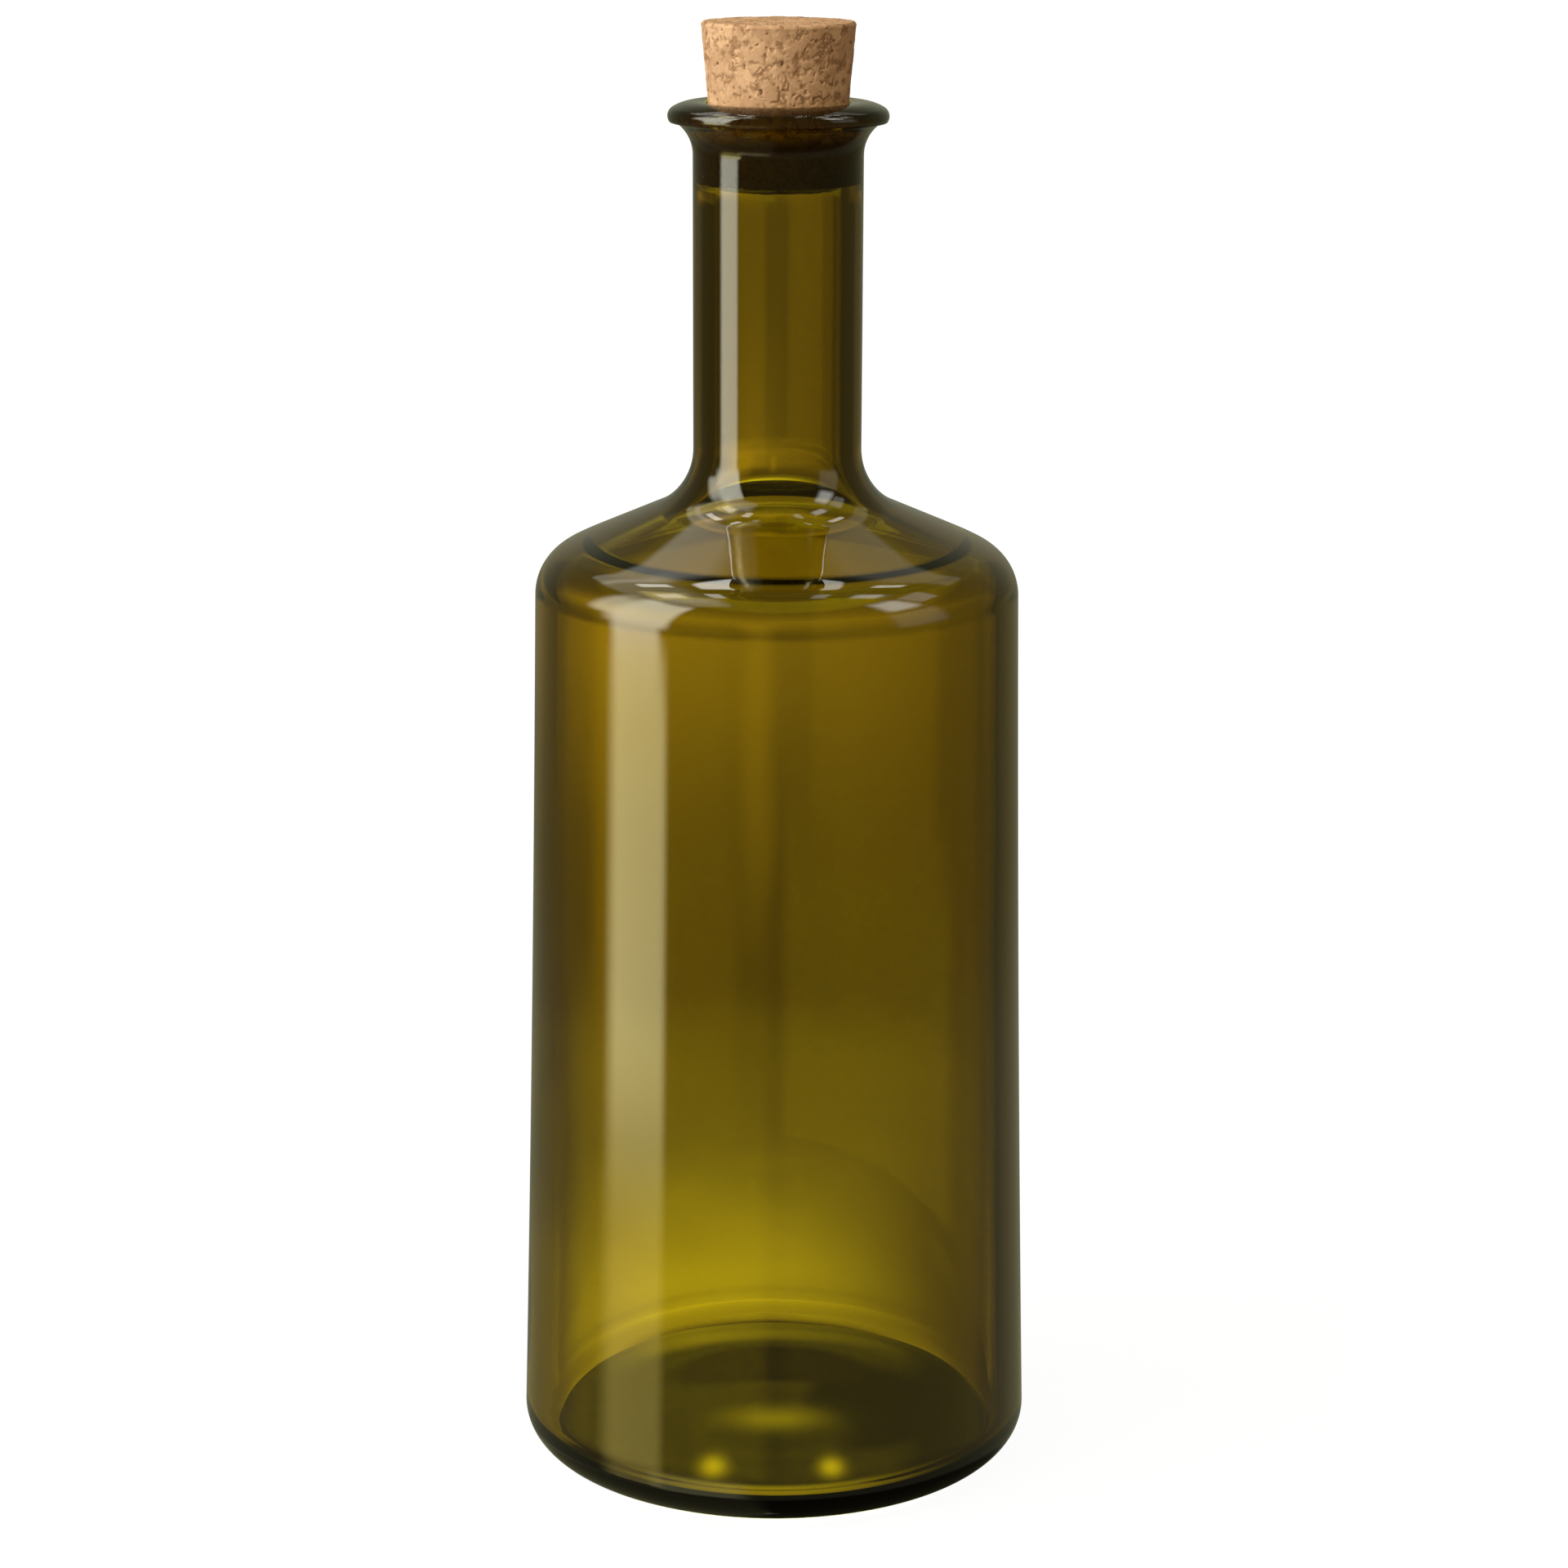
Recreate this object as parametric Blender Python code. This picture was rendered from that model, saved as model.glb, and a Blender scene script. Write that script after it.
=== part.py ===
"""Thick-walled olive green glass oil bottle, empty, shut with a tapered agglomerated cork.

Two sub-parts, each one closed solid: the bottle, turned from one wall section that runs over the outside,
round the lip and back down the inside, and the cork stopper that stands in its mouth.
Metres, +Z up. The origin is the centre of the foot, on the surface that the bottle stands on.
"""

import math

import bmesh
import bpy
from mathutils import Vector, noise

MM = 0.001

# Driving dimensions of the glass
GLASS_HEIGHT = 253.5 * MM
HEEL_RADIUS = 48.0 * MM  # widest, just above the rounded heel
MIDDLE_RADIUS = 45.9 * MM  # half way up the body
SHOULDER_RADIUS = 44.3 * MM  # where the body turns in
SHOULDER_HEIGHT = 164.8 * MM
NECK_RADIUS = 15.3 * MM
LIP_RADIUS = 19.8 * MM

# Outer roundings and slopes
HEEL_ROUND = 6.5 * MM
SHOULDER_ROUND = 9.9 * MM
SHOULDER_SLOPE = math.radians(23.8)  # of the cone between shoulder and neck, above the horizontal
NECK_ROUND = 11.7 * MM
FLARE_START = 244.5 * MM
FLARE_ROUND = 6.9 * MM
FLARE_TURN = math.radians(64.0)
LIP_THICKNESS = 3.5 * MM

# Wall and base
WALL_SHOULDER = 3.8 * MM  # neck, cone and shoulder
WALL_HEEL = 4.7 * MM  # the body's wall thickens towards the heel
BASE_THICKNESS = 4.6 * MM
INNER_FILLET = 3.6 * MM
FOOT_INNER_RADIUS = 34.0 * MM  # the flat foot ring runs from here to the heel's rounding
PUSH_UP_HEIGHT = 3.4 * MM  # hollow under the base
DOME_RADIUS = 31.0 * MM  # swelling of the inner floor over that hollow
DOME_HEIGHT = 3.0 * MM

# Cork, a cone frustum with softened rims
CORK_TOP_RADIUS = 13.85 * MM
CORK_BOTTOM_RADIUS = 11.25 * MM
CORK_LENGTH = 29.5 * MM
CORK_TOP = 268.0 * MM  # total height with the cork in
CORK_ROUND = 0.7 * MM
CORK_GAP = 0.3 * MM  # between cork and glass along the seat
MOUTH_ROUND = 0.9 * MM  # inner edge of the lip
GRAIN_DEPTH = 0.22 * MM  # dips between the pressed cork granules
GRAIN_SIZE = 2.4 * MM

# Facets
TURN_STEPS = 64
BODY_STEPS = 8
ROUND_STEPS = 6  # along each larger rounding of the wall section
SWELL_STEPS = 6  # from the axis to the edge of the push-up and of the floor
CORK_TURN_STEPS = 48
CORK_SIDE_STEPS = 11
CORK_FACE_STEPS = 5
POINT_MERGE = 0.01 * MM


def arc(centre, radius, start, end, steps):
    """Points (r, z) on an arc, both ends included; angles in radians, 0 pointing outwards and a quarter turn up."""
    points = []
    for i in range(steps + 1):
        angle = start + (end - start) * i / steps
        points.append((centre[0] + radius * math.cos(angle), centre[1] + radius * math.sin(angle)))
    return points


def swelling(radius, height, base, steps):
    """Points of a smooth low dome, from the axis out to its edge."""
    points = []
    for i in range(steps + 1):
        share = i / steps
        points.append((radius * share, base + height * (0.5 + 0.5 * math.cos(math.pi * share))))
    return points


def body_radius(share):
    """Outer radius at a share of the way up the body: a parabola through its three named radii."""
    low = HEEL_RADIUS * (1 - share) * (1 - 2 * share)
    middle = MIDDLE_RADIUS * 4 * share * (1 - share)
    high = SHOULDER_RADIUS * share * (2 * share - 1)
    return low + middle + high


def shoulder_and_neck(wall):
    """The shoulder's rounding, the cone and the neck's rounding, moved inwards by the wall's thickness."""
    quarter = math.pi / 2
    shoulder_centre = (SHOULDER_RADIUS - SHOULDER_ROUND, SHOULDER_HEIGHT)
    cone_foot_r = shoulder_centre[0] + SHOULDER_ROUND * math.sin(SHOULDER_SLOPE)
    cone_foot_z = shoulder_centre[1] + SHOULDER_ROUND * math.cos(SHOULDER_SLOPE)
    neck_centre_r = NECK_RADIUS + NECK_ROUND
    cone_run = cone_foot_r - (neck_centre_r - NECK_ROUND * math.sin(SHOULDER_SLOPE))
    cone_head_z = cone_foot_z + cone_run * math.tan(SHOULDER_SLOPE)
    neck_centre = (neck_centre_r, cone_head_z + NECK_ROUND * math.cos(SHOULDER_SLOPE))
    points = arc(shoulder_centre, SHOULDER_ROUND - wall, 0, quarter - SHOULDER_SLOPE, ROUND_STEPS)
    points += arc(neck_centre, NECK_ROUND + wall, -quarter - SHOULDER_SLOPE, -2 * quarter, ROUND_STEPS)
    return points


def outer_profile():
    """From the middle of the base's underside, over the heel, body, shoulder and neck, to the top of the lip."""
    points = swelling(FOOT_INNER_RADIUS, PUSH_UP_HEIGHT, 0.0, SWELL_STEPS)
    points += arc((HEEL_RADIUS - HEEL_ROUND, HEEL_ROUND), HEEL_ROUND, -math.pi / 2, 0, ROUND_STEPS)
    for i in range(1, BODY_STEPS):
        share = i / BODY_STEPS
        points.append((body_radius(share), HEEL_ROUND + share * (SHOULDER_HEIGHT - HEEL_ROUND)))
    points += shoulder_and_neck(0.0)
    flare_centre = (NECK_RADIUS + FLARE_ROUND, FLARE_START)
    points += arc(flare_centre, FLARE_ROUND, math.pi, math.pi - FLARE_TURN, ROUND_STEPS - 2)
    bead = LIP_THICKNESS / 2
    points += arc((LIP_RADIUS - bead, GLASS_HEIGHT - bead), bead, -math.pi / 5, math.pi / 2, ROUND_STEPS)
    return points


def cork_radius(height):
    """The cork's radius at a height in the bottle's frame."""
    share = (CORK_TOP - height) / CORK_LENGTH
    return CORK_TOP_RADIUS + (CORK_BOTTOM_RADIUS - CORK_TOP_RADIUS) * share


def inner_profile():
    """From the lip's inner edge, down the cork's seat and the bore, and along the inner wall to the floor's middle."""
    mouth = cork_radius(GLASS_HEIGHT - MOUTH_ROUND) + CORK_GAP
    points = arc((mouth + MOUTH_ROUND, GLASS_HEIGHT - MOUTH_ROUND), MOUTH_ROUND, math.pi / 2, math.pi, 3)
    bore = NECK_RADIUS - WALL_SHOULDER
    seat_end = CORK_TOP - CORK_LENGTH
    points.append((cork_radius(seat_end) + CORK_GAP, seat_end))
    points.append((bore, seat_end - CORK_GAP))
    points += reversed(shoulder_and_neck(WALL_SHOULDER))
    for i in range(1, BODY_STEPS + 1):
        share = 1 - i / BODY_STEPS
        wall = WALL_HEEL + (WALL_SHOULDER - WALL_HEEL) * share
        height = HEEL_ROUND + share * (SHOULDER_HEIGHT - HEEL_ROUND)
        height = max(height, BASE_THICKNESS + INNER_FILLET)
        points.append((body_radius(share) - wall, height))
    inner = HEEL_RADIUS - WALL_HEEL
    fillet_centre = (inner - INNER_FILLET, BASE_THICKNESS + INNER_FILLET)
    points += arc(fillet_centre, INNER_FILLET, 0, -math.pi / 2, ROUND_STEPS - 2)
    points += reversed(swelling(DOME_RADIUS, DOME_HEIGHT, BASE_THICKNESS, SWELL_STEPS))
    return points


def cork_profile():
    """From the middle of the cork's lower face, up its side, to the middle of its upper face."""
    low, high = CORK_TOP - CORK_LENGTH, CORK_TOP
    face = (CORK_BOTTOM_RADIUS - CORK_ROUND) / CORK_FACE_STEPS
    points = [(face * i, low) for i in range(CORK_FACE_STEPS)]
    points += arc((CORK_BOTTOM_RADIUS - CORK_ROUND, low + CORK_ROUND), CORK_ROUND, -math.pi / 2, 0, 2)
    for i in range(1, CORK_SIDE_STEPS):
        height = low + CORK_ROUND + (CORK_LENGTH - 2 * CORK_ROUND) * i / CORK_SIDE_STEPS
        points.append((cork_radius(height), height))
    points += arc((CORK_TOP_RADIUS - CORK_ROUND, high - CORK_ROUND), CORK_ROUND, 0, math.pi / 2, 2)
    face = (CORK_TOP_RADIUS - CORK_ROUND) / CORK_FACE_STEPS
    points += [(face * i, high) for i in reversed(range(CORK_FACE_STEPS))]
    return points


def turned_mesh(name, profile, steps):
    """A closed mesh made by spinning a profile once round Z. Both its ends lie on the axis."""
    shape = bmesh.new()
    verts = [shape.verts.new((r, 0.0, z)) for r, z in profile]
    edges = [shape.edges.new(pair) for pair in zip(verts, verts[1:])]
    bmesh.ops.spin(shape, geom=verts + edges, cent=(0, 0, 0), axis=(0, 0, 1), angle=math.tau, steps=steps)
    bmesh.ops.remove_doubles(shape, verts=shape.verts, dist=POINT_MERGE)
    bmesh.ops.recalc_face_normals(shape, faces=shape.faces)
    mesh = bpy.data.meshes.new(name)
    shape.to_mesh(mesh)
    shape.free()
    return mesh


def press_in_granules(mesh):
    """Sinks the cork's skin between its granules. It only goes inwards, so the cork keeps clear of its seat."""
    middle = CORK_TOP - CORK_LENGTH / 2
    for vert in mesh.vertices:
        grain = noise.noise(vert.co / GRAIN_SIZE) + 0.5 * noise.noise(vert.co * 2.3 / GRAIN_SIZE)
        depth = GRAIN_DEPTH * min(1.0, max(0.0, 0.5 + grain))
        inwards = Vector((0, 0, middle)) - vert.co
        vert.co += inwards.normalized() * depth


def material(name, colour, roughness, transmission=0.0):
    """A Principled BSDF finish."""
    finish = bpy.data.materials.new(name)
    finish.use_nodes = True
    shader = finish.node_tree.nodes["Principled BSDF"]
    shader.inputs["Base Color"].default_value = (*colour, 1.0)
    shader.inputs["Roughness"].default_value = roughness
    shader.inputs["Metallic"].default_value = 0.0
    shader.inputs["Transmission Weight"].default_value = transmission
    return finish


def add_object(name, mesh, finish, smooth_limit):
    """Links a mesh as one named sub-part, shaded smooth below an edge angle."""
    mesh.materials.append(finish)
    mesh.shade_smooth()
    mesh.set_sharp_from_angle(angle=smooth_limit)
    part = bpy.data.objects.new(name, mesh)
    bpy.context.scene.collection.objects.link(part)
    return part


def build():
    """Clears the scene and makes the bottle and its cork."""
    for old in list(bpy.data.objects):
        bpy.data.objects.remove(old)

    glass = material("olive_glass", (0.20, 0.15, 0.01), 0.02, transmission=1.0)
    section = outer_profile() + inner_profile()
    add_object("bottle", turned_mesh("bottle", section, TURN_STEPS), glass, math.radians(35))

    granules = material("pressed_cork", (0.56, 0.33, 0.15), 0.85)
    cork_mesh = turned_mesh("cork", cork_profile(), CORK_TURN_STEPS)
    press_in_granules(cork_mesh)
    add_object("cork", cork_mesh, granules, math.radians(40))


build()
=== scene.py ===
# %% [markdown]
# # An empty olive green oil bottle with a cork
# The real object has two pieces: a bottle of thick, blown, olive green glass and a tapered stopper pressed from
# cork granules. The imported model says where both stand. This file gives them their finish: a finer turned wall for
# the glass, so that it bends light cleanly, a granular skin for the cork, and a soft studio for them to stand in.

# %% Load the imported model
import math

import bpy
from mathutils import Matrix


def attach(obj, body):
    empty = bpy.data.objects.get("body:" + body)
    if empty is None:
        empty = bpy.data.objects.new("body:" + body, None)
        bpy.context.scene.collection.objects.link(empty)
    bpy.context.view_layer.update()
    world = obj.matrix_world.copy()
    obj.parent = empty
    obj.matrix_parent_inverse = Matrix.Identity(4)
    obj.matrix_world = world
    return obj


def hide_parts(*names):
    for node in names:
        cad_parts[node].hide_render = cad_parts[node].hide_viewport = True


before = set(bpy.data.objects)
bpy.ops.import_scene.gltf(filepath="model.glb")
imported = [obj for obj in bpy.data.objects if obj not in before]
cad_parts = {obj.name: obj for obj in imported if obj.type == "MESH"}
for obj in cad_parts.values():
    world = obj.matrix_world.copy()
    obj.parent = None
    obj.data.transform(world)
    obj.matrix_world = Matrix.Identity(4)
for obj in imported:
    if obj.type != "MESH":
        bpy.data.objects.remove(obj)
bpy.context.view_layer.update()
MM = 0.001

# %% [markdown]
# ## The sizes that everything follows
# A turned shape is known once its section is known. The section is drawn here from a few sizes, as a glass maker
# would dimension it, in metres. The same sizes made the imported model, so the fine surfaces lie on the coarse ones.
# Some small things are finer than in that model, and stay within half a millimetre of it: the shoulder's rounding
# eases into the cone, the wall under it is a little thinner, the lip has a soft crown, and the cork is pressed
# against its seat.

# %% Sizes of the glass and the cork
GLASS_HEIGHT = 253.5 * MM
HEEL_RADIUS = 48.0 * MM
MIDDLE_RADIUS = 45.9 * MM
SHOULDER_RADIUS = 44.3 * MM
SHOULDER_HEIGHT = 164.8 * MM
NECK_RADIUS = 15.3 * MM
LIP_RADIUS = 19.8 * MM
HEEL_ROUND = 6.5 * MM
SHOULDER_ROUND = 9.9 * MM
SHOULDER_SLOPE = math.radians(23.8)
MAIN_ROUND = 9.7 * MM  # the shoulder's rounding before it eases into the cone
EASE_ROUND = 60 * MM
EASE_TURN = math.radians(3.7)
THIN_FROM = 32.1 * MM  # radii between which the wall grows thinner
THIN_TO = 35.1 * MM
THINNER_BY = 0.42 * MM
NECK_ROUND = 11.7 * MM
FLARE_START = 244.5 * MM
FLARE_ROUND = 6.9 * MM
FLARE_TURN = math.radians(64.0)
LIP_THICKNESS = 3.5 * MM
LIP_CROWN = math.radians(30)  # the bead's arc stops this far short of level, and the crown goes on
LIP_CROWN_ROUND = 8.0 * MM
LIP_DROP = 0.38 * MM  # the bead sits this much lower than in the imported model
WALL_SHOULDER = 3.8 * MM
WALL_HEEL = 4.7 * MM
BASE_THICKNESS = 4.6 * MM
INNER_FILLET = 3.6 * MM
FOOT_INNER_RADIUS = 34.0 * MM
PUSH_UP_HEIGHT = 3.4 * MM
DOME_RADIUS = 31.0 * MM
DOME_HEIGHT = 3.0 * MM
CORK_TOP_RADIUS = 13.85 * MM
CORK_BOTTOM_RADIUS = 11.25 * MM
CORK_LENGTH = 29.5 * MM
CORK_TOP = 268.0 * MM
CORK_ROUND = 0.7 * MM
CORK_GAP = 0.3 * MM
CORK_PRESS = 0.3 * MM  # how far the cork is squeezed past its seat
MOUTH_ROUND = 0.9 * MM

# %% [markdown]
# ## Drawing a section
# Arcs, straight stretches and one parabola are enough for this bottle. Each helper returns points as radius and
# height. Polished glass shows every facet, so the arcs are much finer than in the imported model.

# %% Section helpers
ARC_STEPS = 20
BODY_STEPS = 40
SWELL_STEPS = 24


def arc(centre, radius, start, end, steps=ARC_STEPS):
    """Points on an arc, both ends included. Angle 0 points outwards, a quarter turn points up."""
    angles = [start + (end - start) * i / steps for i in range(steps + 1)]
    return [(centre[0] + radius * math.cos(a), centre[1] + radius * math.sin(a)) for a in angles]


def swelling(radius, height, base):
    """A smooth low dome from the axis out to its edge."""
    shares = [i / SWELL_STEPS for i in range(SWELL_STEPS + 1)]
    return [(radius * s, base + height * (0.5 + 0.5 * math.cos(math.pi * s))) for s in shares]


def straight(start, end, steps):
    """Evenly spaced points between two, without the first one."""
    shares = [i / steps for i in range(1, steps + 1)]
    return [(start[0] + (end[0] - start[0]) * s, start[1] + (end[1] - start[1]) * s) for s in shares]


def body_radius(share):
    """Outer radius at a share of the way up the body, a parabola through its three named radii."""
    low = HEEL_RADIUS * (1 - share) * (1 - 2 * share)
    middle = MIDDLE_RADIUS * 4 * share * (1 - share)
    high = SHOULDER_RADIUS * share * (2 * share - 1)
    return low + middle + high


def body_height(share):
    """Height at a share of the way up the body."""
    return HEEL_ROUND + share * (SHOULDER_HEIGHT - HEEL_ROUND)


def facing(angle):
    """The direction in the section at an angle, 0 outwards and a quarter turn up."""
    return (math.cos(angle), math.sin(angle))


def shoulder_and_neck(wall):
    """The shoulder's rounding, the cone and the neck's rounding, moved inwards by the wall's thickness."""
    quarter = math.pi / 2
    cone_up, ease_up = quarter - SHOULDER_SLOPE, quarter - SHOULDER_SLOPE - EASE_TURN
    cone_way, ease_way = facing(cone_up), facing(ease_up)
    plain_centre = (SHOULDER_RADIUS - SHOULDER_ROUND, SHOULDER_HEIGHT)
    cone_reach = plain_centre[0] * cone_way[0] + plain_centre[1] * cone_way[1] + SHOULDER_ROUND
    main_r = SHOULDER_RADIUS - MAIN_ROUND
    eased = MAIN_ROUND * math.cos(EASE_TURN) + EASE_ROUND * (1 - math.cos(EASE_TURN))
    main_centre = (main_r, (cone_reach - main_r * cone_way[0] - eased) / cone_way[1])
    back = MAIN_ROUND - EASE_ROUND
    ease_centre = (main_centre[0] + back * ease_way[0], main_centre[1] + back * ease_way[1])
    neck_centre_r = NECK_RADIUS + NECK_ROUND
    cone_foot = [plain_centre[i] + SHOULDER_ROUND * cone_way[i] for i in (0, 1)]
    cone_run = cone_foot[0] - (neck_centre_r - NECK_ROUND * math.sin(SHOULDER_SLOPE))
    cone_head_z = cone_foot[1] + cone_run * math.tan(SHOULDER_SLOPE)
    neck_centre = (neck_centre_r, cone_head_z + NECK_ROUND * math.cos(SHOULDER_SLOPE))
    shoulder = arc(main_centre, MAIN_ROUND - wall, 0, ease_up)
    shoulder += arc(ease_centre, EASE_ROUND - wall, ease_up, cone_up, 8)[1:]
    neck = arc(neck_centre, NECK_ROUND + wall, -quarter - SHOULDER_SLOPE, -2 * quarter)
    return shoulder + straight(shoulder[-1], neck[0], 48)[:-1] + neck


def cork_radius(height):
    """The cork's radius at a height."""
    share = (CORK_TOP - height) / CORK_LENGTH
    return CORK_TOP_RADIUS + (CORK_BOTTOM_RADIUS - CORK_TOP_RADIUS) * share


# %% The outside of the glass, from the middle of its underside over the lip to the edge of the mouth
body_shares = [i / BODY_STEPS for i in range(1, BODY_STEPS)]
lip_bead = LIP_THICKNESS / 2
mouth = cork_radius(GLASS_HEIGHT - MOUTH_ROUND) + CORK_GAP

outside = swelling(FOOT_INNER_RADIUS, PUSH_UP_HEIGHT, 0.0)
outside += arc((HEEL_RADIUS - HEEL_ROUND, HEEL_ROUND), HEEL_ROUND, -math.pi / 2, 0)
outside += [(body_radius(s), body_height(s)) for s in body_shares]
outside += shoulder_and_neck(0.0)
outside += straight(outside[-1], (NECK_RADIUS, FLARE_START), 16)[:-1]
outside += arc((NECK_RADIUS + FLARE_ROUND, FLARE_START), FLARE_ROUND, math.pi, math.pi - FLARE_TURN)
bead_up = math.pi / 2 - LIP_CROWN
outside += arc((LIP_RADIUS - lip_bead, GLASS_HEIGHT - LIP_DROP - lip_bead), lip_bead, -math.pi / 5, bead_up)
crown_way = facing(bead_up)
crown_centre = [outside[-1][i] - LIP_CROWN_ROUND * crown_way[i] for i in (0, 1)]
crown_end = math.acos((mouth + MOUTH_ROUND - crown_centre[0]) / LIP_CROWN_ROUND)
outside += arc(crown_centre, LIP_CROWN_ROUND, bead_up, crown_end, 12)[1:]
print("outside:", len(outside), "points, top at", round(max(z for _, z in outside) / MM, 2), "mm")

# %% The inside, from the mouth's edge down the cork's seat and the bore to the middle of the floor
bore = NECK_RADIUS - WALL_SHOULDER
seat_end = CORK_TOP - CORK_LENGTH
inner_heel = HEEL_RADIUS - WALL_HEEL
fillet_top = BASE_THICKNESS + INNER_FILLET


def inner_body(share):
    """Inner radius and height. The wall grows thicker towards the heel."""
    wall = WALL_HEEL + (WALL_SHOULDER - WALL_HEEL) * share
    return (body_radius(share) - wall, max(body_height(share), fillet_top))


def thinned(point):
    """The blown wall grows a little thinner on its way to the shoulder, so the inside rises there."""
    share = min(max((point[0] - THIN_FROM) / (THIN_TO - THIN_FROM), 0.0), 1.0)
    return (point[0], point[1] + THINNER_BY * (0.5 - 0.5 * math.cos(math.pi * share)))


inside = arc((mouth + MOUTH_ROUND, outside[-1][1] - MOUTH_ROUND), MOUTH_ROUND, math.pi / 2, math.pi, 8)
inside += straight(inside[-1], (cork_radius(seat_end) + CORK_GAP, seat_end), 12)
inside.append((bore, seat_end - CORK_GAP))
inside += straight(inside[-1], (bore, shoulder_and_neck(WALL_SHOULDER)[-1][1]), 12)[:-1]
inside += [thinned(point) for point in reversed(shoulder_and_neck(WALL_SHOULDER))]
inside += [inner_body(s) for s in reversed(body_shares)]
inside += arc((inner_heel - INNER_FILLET, fillet_top), INNER_FILLET, 0, -math.pi / 2)
inside += straight(inside[-1], (DOME_RADIUS, BASE_THICKNESS), 4)[:-1]
inside += reversed(swelling(DOME_RADIUS, DOME_HEIGHT, BASE_THICKNESS))
print("inside:", len(inside), "points")

# %% [markdown]
# ## A lathe made of nodes
# A bottle and a cork are both turned shapes, so one Geometry Nodes tree makes both. It lays out a grid, reads a
# radius and a height for each row from the section, and winds the rows round the Z axis. Blown glass is never quite
# even inside, so the tree can also push points in or out by a soft noise, where the section says it may.


# %% Node tree helpers
def new_tree(name, kind, inputs):
    """A node group with named inputs. Each input is a name, a socket type and a value."""
    tree = bpy.data.node_groups.new(name, kind)
    for title, socket, value in inputs:
        made = tree.interface.new_socket(name=title, in_out="INPUT", socket_type=socket)
        if value is not None:
            made.default_value = value
    return tree


def add_node(tree, kind, **settings):
    """A node with its properties set by name."""
    node = tree.nodes.new(kind)
    for name, value in settings.items():
        setattr(node, name, value)
    return node


def plug(tree, socket, value):
    """Feeds an input socket from another socket or with a constant."""
    if isinstance(value, bpy.types.NodeSocket):
        tree.links.new(value, socket)
    else:
        socket.default_value = value


def maths(tree, operation, *values, clamp=False):
    """One Math node."""
    node = add_node(tree, "ShaderNodeMath", operation=operation, use_clamp=clamp)
    for socket, value in zip(node.inputs, values):
        plug(tree, socket, value)
    return node.outputs[0]


def vector_maths(tree, operation, *values):
    """One Vector Math node."""
    node = add_node(tree, "ShaderNodeVectorMath", operation=operation)
    for socket, value in zip(node.inputs, values):
        plug(tree, socket, value)
    return node.outputs[0]


def joined(tree, x=0.0, y=0.0, z=0.0):
    """Three numbers as one vector."""
    node = add_node(tree, "ShaderNodeCombineXYZ")
    for socket, value in zip(node.inputs, (x, y, z)):
        plug(tree, socket, value)
    return node.outputs[0]


# %% The lathe
lathe = new_tree(
    "lathe",
    "GeometryNodeTree",
    [
        ("Section", "NodeSocketGeometry", None),
        ("Turn steps", "NodeSocketInt", 256),
        ("Unevenness", "NodeSocketFloat", 0.0),
        ("Unevenness size", "NodeSocketFloat", 0.02),
        ("Finish", "NodeSocketMaterial", None),
    ],
)
lathe.interface.new_socket(name="Piece", in_out="OUTPUT", socket_type="NodeSocketGeometry")
given = add_node(lathe, "NodeGroupInput").outputs

size = add_node(lathe, "GeometryNodeAttributeDomainSize")
plug(lathe, size.inputs[0], given["Section"])
row_length = maths(lathe, "ADD", given["Turn steps"], 1.0)
grid = add_node(lathe, "GeometryNodeMeshGrid")
plug(lathe, grid.inputs["Vertices X"], size.outputs["Point Count"])
plug(lathe, grid.inputs["Vertices Y"], row_length)

index = add_node(lathe, "GeometryNodeInputIndex").outputs[0]
section_point = maths(lathe, "FLOOR", maths(lathe, "DIVIDE", maths(lathe, "ADD", index, 0.5), row_length))
turn_point = maths(lathe, "SUBTRACT", index, maths(lathe, "MULTIPLY", section_point, row_length))
angle = maths(lathe, "DIVIDE", maths(lathe, "MULTIPLY", turn_point, math.tau), given["Turn steps"])

place = add_node(lathe, "GeometryNodeSampleIndex", data_type="FLOAT_VECTOR", domain="POINT")
plug(lathe, place.inputs["Geometry"], given["Section"])
plug(lathe, place.inputs["Value"], add_node(lathe, "GeometryNodeInputPosition").outputs[0])
plug(lathe, place.inputs["Index"], section_point)
along = add_node(lathe, "ShaderNodeSeparateXYZ")
plug(lathe, along.inputs[0], place.outputs[0])

section_radius, _, section_height = along.outputs
outwards = joined(lathe, maths(lathe, "COSINE", angle), maths(lathe, "SINE", angle))
turned = vector_maths(lathe, "MULTIPLY", outwards, joined(lathe, section_radius, section_radius))
turned = vector_maths(lathe, "ADD", turned, joined(lathe, z=section_height))

mask = add_node(lathe, "GeometryNodeSampleIndex", data_type="FLOAT", domain="POINT")
uneven = add_node(lathe, "GeometryNodeInputNamedAttribute", data_type="FLOAT")
uneven.inputs["Name"].default_value = "uneven"
plug(lathe, mask.inputs["Geometry"], given["Section"])
plug(lathe, mask.inputs["Value"], uneven.outputs[0])
plug(lathe, mask.inputs["Index"], section_point)
noise = add_node(lathe, "ShaderNodeTexNoise")
noise.inputs["Detail"].default_value = 1.0
plug(lathe, noise.inputs["Vector"], turned)
plug(lathe, noise.inputs["Scale"], maths(lathe, "DIVIDE", 1.0, given["Unevenness size"]))
push = maths(lathe, "MULTIPLY", maths(lathe, "SUBTRACT", noise.outputs[0], 0.5), given["Unevenness"])
push = maths(lathe, "MULTIPLY", push, mask.outputs[0])
turned = vector_maths(lathe, "ADD", turned, vector_maths(lathe, "MULTIPLY", outwards, joined(lathe, push, push)))

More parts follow.
